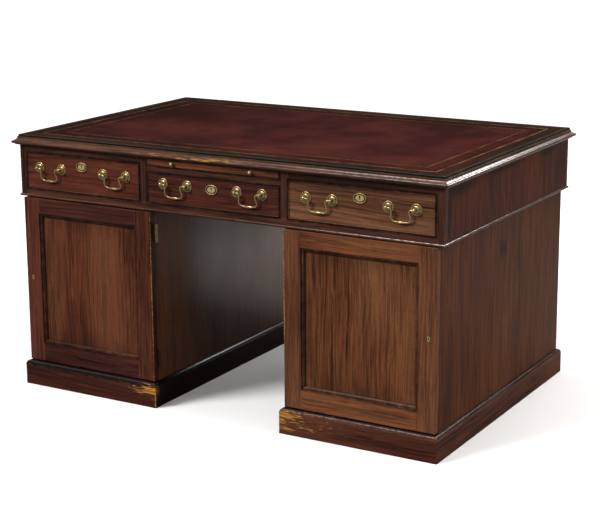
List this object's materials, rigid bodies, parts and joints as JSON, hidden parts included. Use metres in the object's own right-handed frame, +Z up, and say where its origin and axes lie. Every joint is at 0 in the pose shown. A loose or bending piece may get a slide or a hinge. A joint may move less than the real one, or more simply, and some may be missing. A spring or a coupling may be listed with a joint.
{
  "type": "pedestal desk",
  "caption": "Mahogany pedestal desk with a leather-lined top under glass, frieze drawers with swan-neck handles, a brushing slide, and panelled cupboard doors beside the kneehole.",
  "frame": {"origin": "on the floor under the middle of the desk's footprint", "axes": "+X to the sitter's right, +Y to the back of the desk, +Z up"},
  "size_m": [1.446, 0.9288, 0.78],
  "materials": {
    "mahogany": "French-polished, worn",
    "drawer_lining_wood": "planed and unpolished",
    "tooled_leather": "polished hide with gilt border lines",
    "plate_glass": "polished",
    "brass": "polished, rubbed"
  },
  "bodies": {
    "desk": {"glass_sheet": "plate_glass", "leather_writing_surface": "tooled_leather", "top_board": "mahogany", "top_edge_moulding": "mahogany", "frieze_end_left": "mahogany", "frieze_end_right": "mahogany", "frieze_back": "mahogany", "frieze_rails": "mahogany", "frieze_uprights": "mahogany", "drawer_partitions": "drawer_lining_wood", "drawer_runners": "drawer_lining_wood", "frieze_bead": "mahogany", "pedestal_door_fittings": "brass", "left_pedestal_sides": "mahogany", "left_pedestal_back": "mahogany", "left_pedestal_boards": "mahogany", "left_pedestal_plinth": "mahogany", "right_pedestal_sides": "mahogany", "right_pedestal_back": "mahogany", "right_pedestal_boards": "mahogany", "right_pedestal_plinth": "mahogany"},
    "slide": {"slide_board": "mahogany", "slide_knobs": "brass"},
    "left_drawer": {"left_drawer_front": "mahogany", "left_drawer_box": "drawer_lining_wood", "left_drawer_bottom": "drawer_lining_wood", "left_drawer_handle_posts": "brass", "left_drawer_lock": "brass"},
    "left_drawer_left_bail": {"left_drawer_bail_left": "brass"},
    "left_drawer_right_bail": {"left_drawer_bail_right": "brass"},
    "left_drawer_bolt": {"left_drawer_lock_bolt": "brass"},
    "centre_drawer": {"centre_drawer_front": "mahogany", "centre_drawer_box": "drawer_lining_wood", "centre_drawer_bottom": "drawer_lining_wood", "centre_drawer_handle_posts": "brass", "centre_drawer_lock": "brass"},
    "centre_drawer_left_bail": {"centre_drawer_bail_left": "brass"},
    "centre_drawer_right_bail": {"centre_drawer_bail_right": "brass"},
    "centre_drawer_bolt": {"centre_drawer_lock_bolt": "brass"},
    "right_drawer": {"right_drawer_front": "mahogany", "right_drawer_box": "drawer_lining_wood", "right_drawer_bottom": "drawer_lining_wood", "right_drawer_handle_posts": "brass", "right_drawer_lock": "brass"},
    "right_drawer_left_bail": {"right_drawer_bail_left": "brass"},
    "right_drawer_right_bail": {"right_drawer_bail_right": "brass"},
    "right_drawer_bolt": {"right_drawer_lock_bolt": "brass"},
    "left_door": {"left_door_stiles": "mahogany", "left_door_rails": "mahogany", "left_door_panel": "mahogany", "left_door_hinge_leaves": "brass", "left_door_lock": "brass"},
    "left_door_bolt": {"left_door_lock_bolt": "brass"},
    "right_door": {"right_door_stiles": "mahogany", "right_door_rails": "mahogany", "right_door_panel": "mahogany", "right_door_hinge_leaves": "brass", "right_door_lock": "brass"},
    "right_door_bolt": {"right_door_lock_bolt": "brass"}
  },
  "joints": [
    {"name": "slide_draw", "type": "slide", "parent": "desk", "child": "slide", "axis": [0, -1, 0], "range_m": [0, 0.3]},
    {"name": "left_drawer_slide", "type": "slide", "parent": "desk", "child": "left_drawer", "axis": [0, -1, 0], "range_m": [0, 0.42]},
    {"name": "left_drawer_left_bail_swing", "type": "hinge", "parent": "left_drawer", "child": "left_drawer_left_bail", "pos_m": [-0.59044, -0.46, 0.684], "axis": [-1, 0, 0], "range_deg": [-1, 113]},
    {"name": "left_drawer_right_bail_swing", "type": "hinge", "parent": "left_drawer", "child": "left_drawer_right_bail", "pos_m": [-0.35431, -0.46, 0.684], "axis": [-1, 0, 0], "range_deg": [-1, 113]},
    {"name": "left_drawer_bolt_throw", "type": "slide", "parent": "left_drawer", "child": "left_drawer_bolt", "axis": [0, 0, 1], "range_m": [0, 0.008]},
    {"name": "centre_drawer_slide", "type": "slide", "parent": "desk", "child": "centre_drawer", "axis": [0, -1, 0], "range_m": [0, 0.42]},
    {"name": "centre_drawer_left_bail_swing", "type": "hinge", "parent": "centre_drawer", "child": "centre_drawer_left_bail", "pos_m": [-0.13937, -0.46, 0.677], "axis": [-1, 0, 0], "range_deg": [-1, 113]},
    {"name": "centre_drawer_right_bail_swing", "type": "hinge", "parent": "centre_drawer", "child": "centre_drawer_right_bail", "pos_m": [0.11038, -0.46, 0.677], "axis": [-1, 0, 0], "range_deg": [-1, 113]},
    {"name": "centre_drawer_bolt_throw", "type": "slide", "parent": "centre_drawer", "child": "centre_drawer_bolt", "axis": [0, 0, 1], "range_m": [0, 0.008]},
    {"name": "right_drawer_slide", "type": "slide", "parent": "desk", "child": "right_drawer", "axis": [0, -1, 0], "range_m": [0, 0.42]},
    {"name": "right_drawer_left_bail_swing", "type": "hinge", "parent": "right_drawer", "child": "right_drawer_left_bail", "pos_m": [0.33256, -0.46, 0.684], "axis": [-1, 0, 0], "range_deg": [-1, 113]},
    {"name": "right_drawer_right_bail_swing", "type": "hinge", "parent": "right_drawer", "child": "right_drawer_right_bail", "pos_m": [0.58319, -0.46, 0.684], "axis": [-1, 0, 0], "range_deg": [-1, 113]},
    {"name": "right_drawer_bolt_throw", "type": "slide", "parent": "right_drawer", "child": "right_drawer_bolt", "axis": [0, 0, 1], "range_m": [0, 0.008]},
    {"name": "left_door_swing", "type": "hinge", "parent": "desk", "child": "left_door", "pos_m": [-0.2196, -0.43125, 0.33425], "axis": [0, 0, 1], "range_deg": [0, 110]},
    {"name": "left_door_bolt_throw", "type": "slide", "parent": "left_door", "child": "left_door_bolt", "axis": [-1, 0, 0], "range_m": [0, 0.007]},
    {"name": "right_door_swing", "type": "hinge", "parent": "desk", "child": "right_door", "pos_m": [0.2196, -0.43125, 0.33425], "axis": [0, 0, -1], "range_deg": [0, 110]},
    {"name": "right_door_bolt_throw", "type": "slide", "parent": "right_door", "child": "right_door_bolt", "axis": [1, 0, 0], "range_m": [0, 0.007]}
  ]
}
